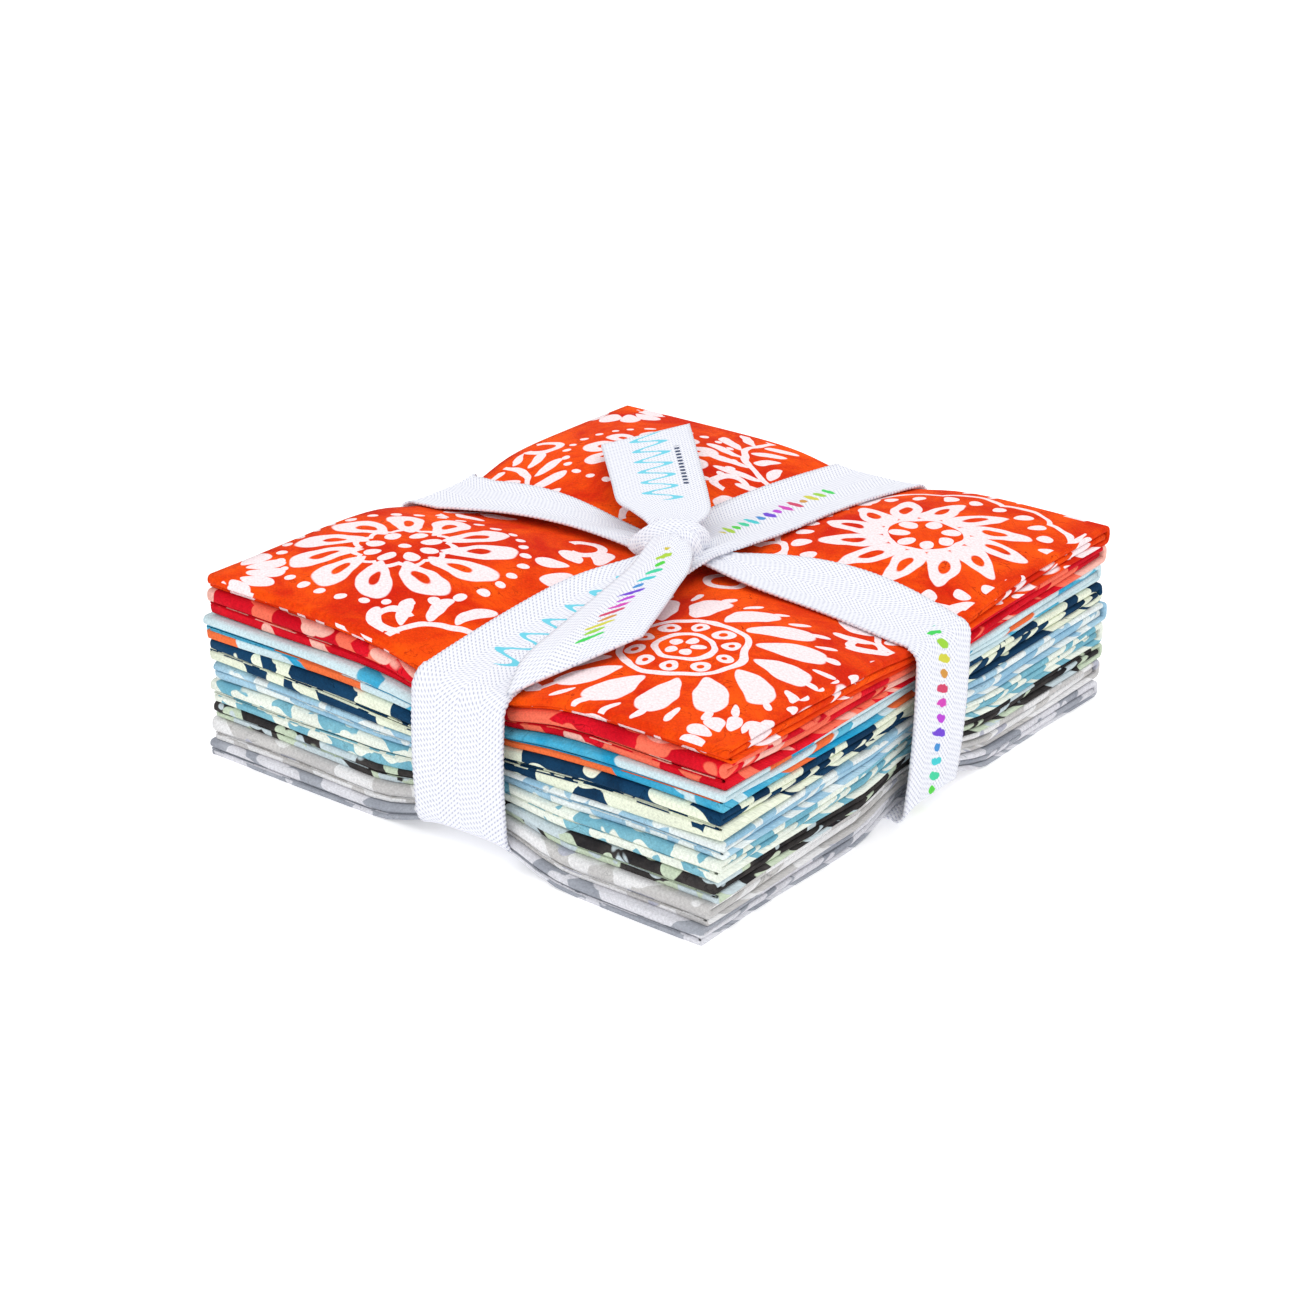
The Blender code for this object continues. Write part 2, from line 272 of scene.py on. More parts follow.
# Cloths from the bottom up.  share: thickness against the mean; dx, dy (mm) and turn
# (degrees): how each lies off the pile; flap (mm): how far its free end sits back;
# rows: heights of the lower and upper row that it shows on its -Y side; phase: where
# its small unevenness starts
clothValues = ("node", "share", "dx", "dy", "turn", "flap", "rows", "phase")
cloths = [dict(zip(clothValues, row)) for row in (
    ("cloth_1_blue_grey", 0.88, -0.9, -0.9, -1.9, 0.2, (2.0, 2.2), 0.3),
    ("cloth_2_pale_grey", 1.08, -0.9, -0.1, -1.4, 0.5, (2.0, 4.0), 1.7),
    ("cloth_3_charcoal", 0.80, -0.3, 0.0, -0.9, 1.0, (2.4, 2.1), 2.9),
    ("cloth_4_blue_cream", 1.14, 0.1, -0.6, -0.6, 0.5, (3.9, 2.8), 4.1),
    ("cloth_5_soft_blue", 1.00, 0.5, -0.2, -0.3, 0.4, (2.6, 1.9), 5.6),
    ("cloth_6_navy_mint", 1.08, 0.0, -0.6, -0.1, 0.2, (3.8, 3.6), 0.9),
    ("cloth_7_sky_coral", 0.96, -0.3, -0.9, 0.2, 0.5, (3.1, 2.6), 2.2),
    ("cloth_8_crimson", 1.06, 0.2, -0.3, 0.1, 0.7, (3.1, 3.6), 3.6),
    ("cloth_9_orange_floral", 1.00, 0.7, 0.0, 0.0, 1.2, (1.3, 2.6), 5.0),
)]


def walk(points):
    # running length along a list of points
    steps = np.hypot(np.diff(points[:, 0]), np.diff(points[:, 1]))
    return np.concatenate([[0.0], np.cumsum(steps)])


def arcPoints(centre, radius, start, end, steps, depth=1.0):
    # a pressed fold: a half ellipse with a flattened face
    angles = np.radians(np.linspace(start, end, steps + 2)[1:-1])
    power = 2 / quarter["foldPower"]
    x = np.sign(np.cos(angles)) * np.abs(np.cos(angles)) ** power
    y = np.sign(np.sin(angles)) * np.abs(np.sin(angles)) ** power
    return np.column_stack([centre[0] + depth * radius * x, centre[1] + radius * y])


def straightPoints(start, end, height, steps, closeEnd=False):
    x = np.linspace(start, end, steps + 1)
    if closeEnd:  # closer steps where the free end turns in
        near = end + np.array([1.2, 0.8, 0.5, 0.3, 0.15, 0.06, 0.02, 0.0]) * mm * np.sign(start - end)
        x = np.concatenate([x[:-1], near])
    return np.column_stack([x, np.full_like(x, height)])


def plySection(ply, steps):
    # the cut edge of 559 mm folded in half and in half again: x, and offset in the strip
    half = stack["width"] / 2
    outer = 1.5 * ply
    right = half - outer
    inner = right - 1.4 * ply
    left = -half + 0.5 * ply
    return np.concatenate([
        straightPoints(-half + 0.4 * mm, right, outer, steps),
        arcPoints((right, 0), outer, 90, -90, 7),
        straightPoints(right, left, -outer, steps),
        arcPoints((left, -ply), 0.5 * ply, -90, -270, 4),
        straightPoints(left, inner, -0.5 * ply, steps),
        arcPoints((inner, 0), 0.5 * ply, -90, 90, 3),
        straightPoints(inner, -half + 0.9 * mm, 0.5 * ply, steps),
    ])


def letterFold(layer, flap, steps):
    # middle line in YZ of the strip folded in three, with its outward normal
    pitch = layer + stack["layerGap"]
    half = stack["depth"] / 2
    depth = quarter["foldDepth"]
    left = -half + depth * pitch / 2 + layer / 2
    right = half - depth * pitch - layer / 2
    points = np.concatenate([
        straightPoints(right - quarter["endSetback"], left, 1.5 * pitch, steps),
        arcPoints((left, 2 * pitch), pitch / 2, 270, 90, 10, depth),
        straightPoints(left, right, 2.5 * pitch, steps),
        arcPoints((right, 1.5 * pitch), pitch, 90, -90, 11, depth),
        straightPoints(right, -half + flap, 0.5 * pitch, steps, closeEnd=True),
    ])
    ahead = np.gradient(points, axis=0)
    ahead /= np.linalg.norm(ahead, axis=1)[:, None]
    outward = np.column_stack([-ahead[:, 1], ahead[:, 0]])
    return points, outward


def frontLevels():
    # shares of the height where the rows meet: inside the stack, and on its -Y side
    inside, front = [0.0], [0.0]
    for row in cloths:
        inside += [inside[-1] + row["share"] / 3, inside[-1] + row["share"]]
        front += [front[-1] + row["rows"][0], front[-1] + sum(row["rows"])]
    return np.array(inside) / inside[-1], np.array(front) / front[-1]


def settle(x, y, share):
    # uneven spacing of the plies: shifts a level a little, and never past its neighbour
    u = x / (stack["width"] / 2)
    v = y / (stack["depth"] / 2)
    rim = unit(np.maximum(np.abs(u), np.abs(v))) ** 3
    waves = sum(size * np.sin(2 * np.pi * (rise * share + overX * u + overY * v) + start)
                for size, rise, overX, overY, start in quarter["spacing"])
    ends = unit(4 * share * (1 - share))
    share = share + waves * rim * ends
    start, length = quarter["frontZone"]
    toFront = unit((-v - start) / length)
    toFront = toFront * toFront * (3 - 2 * toFront)
    return share + toFront * (np.interp(share, *frontLevels()) - share)


def smallWaves(place, phase):
    return sum(size * np.sin(place / length + share * phase)
               for size, length, share in quarter["wanderWaves"])


def foldedQuarter(row, layer, floorLevel, stackLevel, steps):
    # one cut cloth as a thin sheet, folded, laid on the pile and pressed by the tie
    ply = quarter["plyShare"] * (layer + stack["layerGap"])
    across = plySection(ply, steps)
    along, outward = letterFold(layer, row["flap"] * mm, steps)
    lineLength = walk(along)
    flatX, run = np.meshgrid(across[:, 0], lineLength)
    offset = np.meshgrid(across[:, 1], lineLength)[0]
    # at the free end the top ply turns down over the others, which end a little further in
    reach, length = quarter["endReach"]
    opened = unit((run - lineLength[-1] + reach) / length)
    offset = offset * (1 + quarter["endOpens"] * opened * opened * (3 - 2 * opened))
    nose = unit((lineLength[-1] - run) / (2.0 * ply))
    power = quarter["foldPower"]
    curl = np.clip(1 - (1 - nose) ** power, 0.02, 1) ** (1 / power)
    endPly = (1 + quarter["endOpens"]) * ply
    bottom = -1.5 * endPly
    inset = (1 - (offset - bottom) / (3 * endPly)) * quarter["endInset"] * (1 - nose)
    offset = bottom + (offset - bottom) * curl
    flatY = along[:, None, 0] + outward[:, None, 0] * offset + inset
    level = along[:, None, 1] + outward[:, None, 1] * offset

    # edges wander a little, each layer in its own way
    half = np.array([stack["width"] / 2, stack["depth"] / 2])
    rimX = unit(np.abs(flatX) / half[0]) ** 6 * np.sign(flatX)
    rimY = unit(np.abs(flatY) / half[1]) ** 6 * np.sign(flatY)
    x = flatX + rimX * quarter["wander"][0] * smallWaves(run, row["phase"] * 3)
    y = flatY + rimY * quarter["wander"][1] * smallWaves(flatX + 0.3 * flatY, row["phase"] * 5)
    x = x - rimX * quarter["drawnIn"] * bandProfile(flatY - tapeLineY(flatX))
    y = y - rimY * quarter["drawnIn"] * bandProfile(flatX - tapeLineX(flatY))

    turn = math.radians(row["turn"])
    placedX = x * math.cos(turn) - y * math.sin(turn) + row["dx"] * mm
    placedY = x * math.sin(turn) + y * math.cos(turn) + row["dy"] * mm
    share = (floorLevel + level - stack["layerGap"] / 2) / stackLevel
    share = settle(placedX, placedY, share)
    base = stackBase(placedX, placedY)
    z = base + share * (stackTop(placedX, placedY) - base)

    # the flat cloth's own coordinates, in metres over the cut
    steep = np.hypot(np.diff(placedY, axis=0), np.diff(z, axis=0))
    length = np.vstack([np.zeros((1, len(across))), np.cumsum(steep, axis=0)])
    topStart = steps + 12
    length = length - length[topStart] + lineLength[topStart]
    uv = np.stack([np.repeat(walk(across)[None, :], len(along), axis=0), length], axis=-1)
    name = row["node"].replace("cloth_", "sheet_")
    cloth = bentGrid(name, np.stack([placedX, placedY, z], axis=-1), uv)
    giveThickness(cloth, quarter["thickness"])
    return cloth


def makeStack():
    meanHeight = sum(stack["cornerHeight"].values()) / 4
    shares = sum(row["share"] for row in cloths)
    gaps = len(cloths) * stack["layers"] * stack["layerGap"]
    meanLayer = (meanHeight + stack["layerGap"] - gaps) / (stack["layers"] * shares)
    level = 0.0
    sheets = {}
    for row in cloths:
        layer = meanLayer * row["share"]
        steps = quarter["steps"][1 if row is cloths[-1] else 0]
        sheets[row["node"]] = foldedQuarter(row, layer, level, meanHeight, steps)
        level += stack["layers"] * (layer + stack["layerGap"])
        print("folded", row["node"])
    return sheets


sheets = makeStack()


# The twill tape: two loops round the stack, the knot and two free ends.  alongX and
# alongY are the loops; of two values the first is for the low side of the knot
tape = {
    "width": 0.025,
    "thickness": 0.0006,
    "clear": 0.0009,  # middle of the tape off the cloth
    "baseClear": 0.0006,
    "faceClear": 0.0026,  # middle of the tape off the mean side of the stack
    "faceBulge": 0.0006,
    "sideHeight": 0.034,  # mean length of tape down a side
    "cornerRadius": {"alongX": 0.0030, "alongY": 0.0048},
    "cornerSteps": 10,
    "liftAtKnot": 0.0036,
    "liftReach": 0.020,
    "gather": 0.44,  # share of the width lost at the knot
    "gatherReach": 0.016,
    "slowGather": {"alongX": (0.66, 0.25), "alongY": (0.05, 0.05)},  # and of that lost far out
    "slowReach": 0.052,
    "slowEase": 0.016,
    "sideGather": {"alongX": (0.0, 0.15), "alongY": (0.0, 0.0)},  # share lost down the side
    "pull": {"alongX": (0.0, 0.15), "alongY": (0.46, 0.40)},  # share of the loss kept off one edge
    "pullEase": 0.006,
    "bow": {"alongX": (0.0046, 0.0054), "alongY": (0.0, 0.0)},  # sideways, between its ends
    "slant": {"alongX": -0.0032, "alongY": 0.0},  # sideways, down the high side
    "lean": {"alongX": (0.0018, -0.0006), "alongY": (0.0, 0.0)},  # one edge raised, between its ends
    # near the knot, how the raised tape slopes off: how steeply, from where, to which side
    "ridge": {"alongX": ((3.0, -0.06, -1), (2.8, 0.10, 1)), "alongY": ((0, 0, 1), (0, 0, 1))},
    "crossingStep": {"alongX": -0.0003, "alongY": 0.0},
    "runStart": {"alongX": 0.268, "alongY": 0.492, "frontEnd": 0.070, "backEnd": 0.482, "knot": 0.2},
    "runWay": {"alongX": -1, "alongY": 1},
    "pleats": 4.0,
    "pleatDepth": 0.00055,
    "pleatReach": 0.012,
    "scallop": 0.00010,  # small waves of the woven edge
    "rowStep": 0.0007,
    "columns": 18,
    "endRows": 90,
    "endDome": 0.9,  # mm, crown of a free end at the knot
    "endPleats": (3.5, 0.55),  # number and depth in mm
    "endPleatReach": 0.16,  # share of its length
    "endBulge": {"frontEnd": 1.3, "backEnd": 0.8},
    "endBulgeZone": (0.13, 0.07),
    "endOverLoop": (0.0140, 0.0015),  # reach from the middle of the loop under it, and ease
    "endClear": (0.6, 1.2),  # mm off the cloth, and more over the loop
    # long edges of the free ends, from the knot out, in mm
    "frontEnd": (
        ((3.0, -6.0, 48.6), (3.4, -11.0, 50.6), (4.4, -20.0, 47.4), (5.6, -34.0, 45.3),
         (9.0, -52.0, 44.8), (12.6, -68.0, 44.4), (17.0, -78.8, 41.6)),
        ((9.8, -6.0, 48.6), (14.4, -10.6, 50.9), (20.4, -19.6, 51.0), (24.0, -29.0, 50.7),
         (27.4, -38.0, 50.3), (30.2, -46.0, 50.0), (32.4, -52.6, 49.7)),
    ),
    "backEnd": (
        ((0.8, -6.4, 48.8), (-3.0, -4.6, 51.4), (-9.6, -1.2, 51.6), (-16.6, 2.4, 51.2),
         (-25.0, 11.2, 50.9), (-34.2, 21.0, 50.7), (-43.4, 30.8, 50.5)),
        ((7.2, -2.6, 48.8), (7.4, 0.2, 51.4), (5.4, 8.4, 51.6), (-1.4, 17.4, 51.2),
         (-12.0, 29.6, 50.9), (-23.6, 42.8, 50.7), (-35.2, 55.9, 50.5)),
    ),
}


def smoothLine(points, count):
    # even smooth points through the given ones, by a cubic through each four
    points = np.array(points, dtype=float)
    ends = np.vstack([2 * points[0] - points[1], points, 2 * points[-1] - points[-2]])
    at = np.linspace(0, len(points) - 1, count)
    index = np.minimum(at.astype(int), len(points) - 2)
    t = (at - index)[:, None]
    a, b, c, d = (ends[index + k] for k in range(4))
    return 0.5 * (2 * b + (c - a) * t + (2 * a - 5 * b + 4 * c - d) * t ** 2
                  + (3 * b - a - 3 * c + d) * t ** 3)


def loopOutline(turnAt):
    # rows round the stack: place or side, part of the loop, angle or share of the way
    step = tape["rowStep"]
    top = np.linspace(-turnAt, turnAt, int(2 * turnAt / step))
    bend = np.linspace(0, math.pi / 2, tape["cornerSteps"])[1:-1]
    down = np.linspace(0, 1, int(tape["sideHeight"] / step))
    rows = [(place, "top", 0.0) for place in top]
    rows += [(1, "topBend", angle) for angle in bend]
    rows += [(1, "side", share) for share in down]
    rows += [(1, "baseBend", angle) for angle in bend]
    rows += [(place, "base", 0.0) for place in top[::-1][::2]]
    rows += [(-1, "baseBend", angle) for angle in bend[::-1]]
    rows += [(-1, "side", share) for share in down[::-1]]
    rows += [(-1, "topBend", angle) for angle in bend[::-1]]
    return rows


def tapeLoop(way):
    # one closed loop, as rows of points across the tape
    alongY = way == "alongY"
    half = (stack["depth"] if alongY else stack["width"]) / 2
    radius = tape["cornerRadius"][way]
    knotAt = stack["knot"][1] if alongY else stack["knot"][0]
    line = tapeLineX if alongY else tapeLineY
    turnAt = half + tape["faceClear"] - radius
    rows = loopOutline(turnAt)
    across = np.linspace(-0.5, 0.5, tape["columns"])
    place = np.zeros((len(rows) + 1, len(across), 3))

    def bell(along, reach):
        return math.exp(-((along - knotAt) / reach) ** 2)

    def pick(values, along, ease):
        # the value of the low or the high side, eased over a short way at the knot
        low, high = values[way]
        return low + (high - low) * unit((along - knotAt) / ease + 0.5)

    def spanOf(along):
        return unit(abs(along - knotAt) / (half - abs(knotAt)))

    def widthAt(along, part):
        # gathered into the knot on top, and a little narrower where it goes over the edge
        low, high = tape["sideGather"][way]
        side = low + (high - low) * unit((along / half + 1) / 2)
        if part != "top":
            return tape["width"] * (1 - side)
        slow = pick(tape["slowGather"], along, tape["slowEase"]) * bell(along, tape["slowReach"])
        fast = tape["gather"] * bell(along, tape["gatherReach"])
        return tape["width"] * (1 - fast) * (1 - slow) * (1 - side * spanOf(along) ** 4)

    def ground(along, width, part, down=0.0):
        bow = tape["bow"][way][1 if along > knotAt else 0] * math.sin(math.pi * spanOf(along))
        if part == "base":
            down = (np.clip(along / turnAt, -1, 1) + 1) / 2
        pull = pick(tape["pull"], along, tape["pullEase"]) * (tape["width"] - width)
        along = np.full_like(across, along)
        sideways = line(np.clip(along, -half, half)) + across * width + tape["slant"][way] * down
        if part == "top":
            sideways = sideways + bow + pull
        return sideways, along

    def turned(sideways, along):
        return (sideways, along) if alongY else (along, sideways)

    def topHeight(along, width):
        x, y = turned(*ground(along, width, "top"))
        side = 1 if along > knotAt else 0
        drop, start, towards = tape["ridge"][way][side]
        shape = 1 - drop * unit((across - start) * towards) ** 1.3
        near = bell(along, tape["liftReach"])
        height = stackTop(x, y) + tape["clear"] + tape["liftAtKnot"] * near * shape
        lean = tape["lean"][way][side] * math.sin(math.pi * spanOf(along)) ** 0.8
        height = height + abs(lean) * (0.5 - across * np.sign(lean))
        pleat = bell(along, tape["pleatReach"]) * tape["pleatDepth"]
        height = height + pleat * np.cos(2 * np.pi * tape["pleats"] * across)
        return height + tape["crossingStep"][way] * near

    def baseHeight(along, width):
        x, y = turned(*ground(along, width, "base"))
        step = tape["crossingStep"][way] * math.exp(-(along / tape["liftReach"]) ** 2)
        return stackBase(x, y) - tape["baseClear"] - step

    for index, (along, part, value) in enumerate(rows):
        if part in ("top", "base"):
            width = widthAt(along, part)
            sideways, ahead = ground(along, width, part)
            z = topHeight(along, width) if part == "top" else baseHeight(along, width)
        else:
            corner = along * turnAt
            down = {"side": value, "baseBend": 1.0}.get(part, 0.0) if along > 0 else 0.0
            sideways, ahead = ground(corner, widthAt(corner, part), part, down)
            high = topHeight(corner, tape["width"])
            low = baseHeight(corner, tape["width"])
            if part == "side":
                z = high - radius + (low + 2 * radius - high) * value
                out = radius + tape["faceBulge"] * math.sin(math.pi * value)
            elif part == "topBend":
                z = high - radius + radius * math.cos(value)
                out = radius * math.sin(value)
            else:
                z = low + radius - radius * math.sin(value)
                out = radius * math.cos(value)
            ahead = ahead + along * out
        wave = tape["scallop"] * (1 if index % 2 else -1) * unit(np.abs(across) * 8 - 3)
        x, y = turned(sideways + wave * np.sign(across), ahead)
        place[index] = np.stack([x, y, z], axis=-1)
    place[-1] = place[0]
    return place


def stripUv(place, start, way=1):
    # metres across and along a strip, for the weave and the printed marks
    middle = place[:, place.shape[1] // 2]
    run = np.concatenate([[0], np.cumsum(np.linalg.norm(np.diff(middle, axis=0), axis=1))])
    across = np.linspace(0, tape["width"], place.shape[1])
    return np.stack(np.meshgrid(across, start + way * run), axis=-1)


def freeEnd(name):
    # a free end ruled between its two edges, laid on whatever is under it
    left, right = (smoothLine(edge, tape["endRows"]) * mm for edge in tape[name])
    t = np.linspace(0, 1, tape["columns"])[None, :, None]
    place = left[:, None, :] * (1 - t) + right[:, None, :] * t
    s = np.linspace(0, 1, tape["endRows"])[:, None]
    across = t[:, :, 0]
    dome = 1 - (2 * across - 1) ** 2
    pleats, depth = tape["endPleats"]
    z = place[:, :, 2] + tape["endDome"] * mm * dome * (1 - s)
    start, length = tape["endBulgeZone"]
    z = z + tape["endBulge"][name] * mm * np.exp(-((s - start) / length) ** 2) * dome
    near = np.exp(-(s / tape["endPleatReach"]) ** 2)
    z = z + depth * mm * near * np.cos(2 * np.pi * pleats * across)
    x, y = place[:, :, 0], place[:, :, 1]
    onStack = unit((stack["depth"] / 2 - np.abs(y)) / 0.002)
    reach, ease = tape["endOverLoop"]
    overLoop = unit((reach - np.abs(x - tapeLineX(y))) / ease)
    clear, more = tape["endClear"]
    lowest = stackTop(x, y) + (clear + more * overLoop) * mm
    place[:, :, 2] = np.where(onStack > 0, np.maximum(z, lowest), z)
    return place


def weld(piece, distance, turnOut=False):
    # closes the seam of a piece that is bent round
    selectOnly(piece)
    bpy.ops.object.mode_set(mode="EDIT")
    bpy.ops.mesh.select_all(action="SELECT")
    bpy.ops.mesh.remove_doubles(threshold=distance)
    if turnOut:
        bpy.ops.mesh.normals_make_consistent(inside=False)
    bpy.ops.object.mode_set(mode="OBJECT")


def rolledTape(points, radii, name):
    # tape drawn into a rope, closed at both ends: the wraps of the knot
    rows, columns = knot["rows"], knot["columns"]
    middle = smoothLine(points, rows) * mm
    ahead = np.gradient(middle, axis=0)
    ahead /= np.linalg.norm(ahead, axis=1)[:, None]
    side = np.cross(ahead, np.array([0.3, -0.2, 1.0]))
    side /= np.linalg.norm(side, axis=1)[:, None]
    up = np.cross(side, ahead)
    s = np.linspace(0, 1, rows)[:, None]
    angle = np.linspace(0, 2 * np.pi, columns)[None, :]
    taper = np.sqrt(unit(1 - (2 * s - 1) ** 10))
    ridge = 1 + sum(depth * np.cos(count * angle + twist * s) for count, twist, depth in knot["ridges"])
    wide = radii[0] * mm * taper * ridge * np.cos(angle)
    tall = radii[1] * mm * taper * ridge * np.sin(angle)
    place = middle[:, None, :] + side[:, None, :] * wide[:, :, None] + up[:, None, :] * tall[:, :, None]
    rope = bentGrid(name, place, stripUv(place, tape["runStart"]["knot"]))
    weld(rope, 0.01 * mm, turnOut=True)
    bpy.ops.object.shade_smooth()
    return rope


# The knot: tape drawn into ropes, each a line of points and two radii, in mm
knot = {
    "rows": 48,
    "columns": 40,
    "ridges": ((7, 2.4, 0.055), (11, -3.0, 0.03)),  # count, twist and depth
    "wraps": {
        "core": (((-0.5, -8.6, 46.6), (2.4, -6.6, 47.9), (5.8, -4.4, 48.0), (9.6, -2.2, 46.8)),
                 (5.2, 3.5)),
        "over": (((-1.6, -9.8, 45.4), (-0.6, -8.9, 48.4), (2.2, -6.6, 50.9), (6.0, -3.8, 51.5),
                  (9.2, -1.6, 50.2), (10.6, -0.4, 46.8)), (3.1, 1.6)),
        "right": (((5.0, -3.4, 49.6), (8.4, -5.0, 51.0), (11.0, -6.3, 49.9), (12.4, -7.2, 46.6)),
                  (2.4, 1.5)),
        "under": (((0.2, -2.6, 47.4), (3.0, -1.3, 50.0), (6.2, 0.3, 50.0), (8.6, 1.8, 47.4)),
                  (2.3, 1.4)),
    },
}


def makeTape():
    start = tape["runStart"]
    pieces = []
    for way, name in (("alongY", "loopY"), ("alongX", "loopX")):
        place = tapeLoop(way)
        loop = bentGrid(name, place, stripUv(place, start[way], tape["runWay"][way]))
        weld(loop, 0.005 * mm)
        pieces.append(loop)
    for name in ("frontEnd", "backEnd"):
        place = freeEnd(name)
        pieces.append(bentGrid(name, place, stripUv(place, start[name])))
    for piece in pieces:
        giveThickness(piece, tape["thickness"])
    for name, (points, radii) in knot["wraps"].items():
        pieces.append(rolledTape(points, radii, name))
    deselectAll()
    for piece in pieces:
        piece.select_set(True)
    bpy.context.view_layer.objects.active = pieces[0]
    bpy.ops.object.join()
    twill = bpy.context.object
    twill.name = "twillTape"
    print("tied the tape")
    return twill


twillTape = makeTape()


# Helpers for the node materials
def addNode(tree, kind, inputs, **settings):
    node = tree.nodes.new(kind)
    for key, value in settings.items():
        setattr(node, key, value)
    fill(tree, node, inputs)
    return node


def calc(tree, operation, *values):
    return addNode(tree, "ShaderNodeMath", dict(enumerate(values)), operation=operation).outputs[0]


def timesPlus(tree, first, second, third):
    return calc(tree, "MULTIPLY_ADD", first, second, third)


def split(tree, vector):
    return addNode(tree, "ShaderNodeSeparateXYZ", {0: vector}).outputs


def noise(tree, vector, scale, detail, **values):
    return addNode(tree, "ShaderNodeTexNoise", {
        "Vector": vector, "Scale": scale, "Detail": detail, **values}).outputs


def calcVector(tree, operation, first, second):
    return addNode(tree, "ShaderNodeVectorMath", {0: first, 1: second}, operation=operation).outputs[0]


def times(tree, first, second):
    return calc(tree, "MULTIPLY", first, second)


def plus(tree, first, second):
    return calc(tree, "ADD", first, second)


def minus(tree, first, second):
    return calc(tree, "SUBTRACT", first, second)


def over(tree, first, second):
    return calc(tree, "DIVIDE", first, second)


def between(tree, value, low, high):
    # 0 under low, 1 over high, smooth between
    return addNode(tree, "ShaderNodeMapRange", {
        "Value": value, "From Min": low, "From Max": high}, interpolation_type="SMOOTHSTEP").outputs[0]


def blendColours(tree, mask, first, second):
    mix = addNode(tree, "ShaderNodeMix", {0: mask, 6: first, 7: second}, data_type="RGBA")
    return mix.outputs[2]


effects = {}


def newGroup(name, inputs, outputs):
    # inputs: name and first value; the one without a value is a vector
    group = effects[name] = bpy.data.node_groups.new(name, "ShaderNodeTree")
    for label, value in inputs.items():
        kind = "NodeSocketVector" if value is None else "NodeSocketFloat"
        socket = group.interface.new_socket(label, in_out="INPUT", socket_type=kind)
        if value is not None:
            socket.default_value = value
    for label in outputs:
        group.interface.new_socket(label, in_out="OUTPUT", socket_type="NodeSocketFloat")
    return group, group.nodes.new("NodeGroupInput").outputs, group.nodes.new("NodeGroupOutput").inputs


def makePlainWeave():
    group, given, result = newGroup("plainWeave", {"Vector": None, "Pitch": 0.0004}, ["Height"])
    parts = split(group, given["Vector"])
    turn = over(group, math.pi, given["Pitch"])
    warp = calc(group, "SINE", times(group, parts[0], turn))
    weft = calc(group, "SINE", times(group, parts[1], turn))
    cross = times(group, warp, weft)
    height = timesPlus(group, cross, 0.35, calc(group, "ABSOLUTE", cross))
    group.links.new(height, result["Height"])


def makeDyeMottle():
    group, given, result = newGroup("dyeMottle", {"Vector": None, "Scale": 60.0}, ["Mottle", "Crackle"])
    vector, scale = given["Vector"], given["Scale"]
    broad = noise(group, vector, scale, 7.0, Roughness=0.62, Distortion=0.6)["Fac"]
    crack = noise(group, vector, times(group, scale, 1.7), 4.0, Roughness=0.55, Distortion=1.4)["Fac"]
    away = calc(group, "ABSOLUTE", minus(group, crack, 0.5))
    line = minus(group, 1.0, between(group, away, 0.0, 0.012))
    group.links.new(between(group, broad, 0.33, 0.68), result["Mottle"])
    group.links.new(times(group, line, between(group, broad, 0.45, 0.62)), result["Crackle"])


def makeBlobPrint():
    group, given, result = newGroup("blobPrint", {
        "Vector": None, "Scale": 60.0, "Small": 200.0, "Bumps": 0.3, "Level": 0.5}, ["Mask"])
    broad = noise(group, given["Vector"], given["Scale"], 1.0, Roughness=0.4, Distortion=0.3)["Fac"]
    cell = addNode(group, "ShaderNodeTexVoronoi", {
        "Vector": given["Vector"], "Scale": given["Small"], "Randomness": 0.8}).outputs["Distance"]
    bump = times(group, minus(group, 0.45, cell), given["Bumps"])
    high = plus(group, given["Level"], 0.012)
    group.links.new(between(group, plus(group, broad, bump), given["Level"], high), result["Mask"])


def aroundCentre(group, given):
    # distance and angle from the given centre, and whether the angle is in the given arc
    parts = split(group, given["Vector"])
    x = minus(group, parts[0], given["Centre X"])
    y = minus(group, parts[1], given["Centre Y"])
    radius = calc(group, "SQRT", timesPlus(group, x, x, times(group, y, y)))
    cosine, sine = calc(group, "COSINE", given["Turn"]), calc(group, "SINE", given["Turn"])
    turnedX = timesPlus(group, x, cosine, times(group, y, sine))
    turnedY = timesPlus(group, y, cosine, times(group, times(group, x, sine), -1.0))
    angle = calc(group, "ARCTAN2", turnedY, turnedX)
    inArc = calc(group, "LESS_THAN", calc(group, "ABSOLUTE", angle), given["Arc"])
    return radius, angle, inArc


def makePetalRing():
    # leaf shapes or dots set evenly round a centre; all lengths in mm
    group, given, result = newGroup("petalRing", {
        "Vector": None, "Centre X": 0.0, "Centre Y": 0.0, "Radius": 10.0, "Length": 4.0, "Width": 2.0,
        "Taper": 0.0, "Count": 8.0, "Turn": 0.0, "Lean": 0.0, "Hollow": -1.0, "Arc": 4.0}, ["Mask"])
    radius, angle, inArc = aroundCentre(group, given)
    out = minus(group, radius, given["Radius"])
    leaning = timesPlus(group, out, given["Lean"], angle)
    step = over(group, 2 * math.pi, given["Count"])
    share = calc(group, "FRACT", plus(group, over(group, leaning, step), 100.5))
    off = times(group, times(group, minus(group, share, 0.5), step), radius)
    along = over(group, out, given["Length"])
    room = times(group, given["Width"], timesPlus(group, along, given["Taper"], 1.0))
    aside = over(group, off, calc(group, "MAXIMUM", room, 0.05))
    level = timesPlus(group, aside, aside, times(group, along, along))
    whole = minus(group, 1.0, between(group, level, 0.93, 1.07))
    hole = between(group, minus(group, given["Hollow"], level), -0.03, 0.03)
    body = calc(group, "MAXIMUM", minus(group, whole, hole), 0.0)
    group.links.new(times(group, body, inArc), result["Mask"])


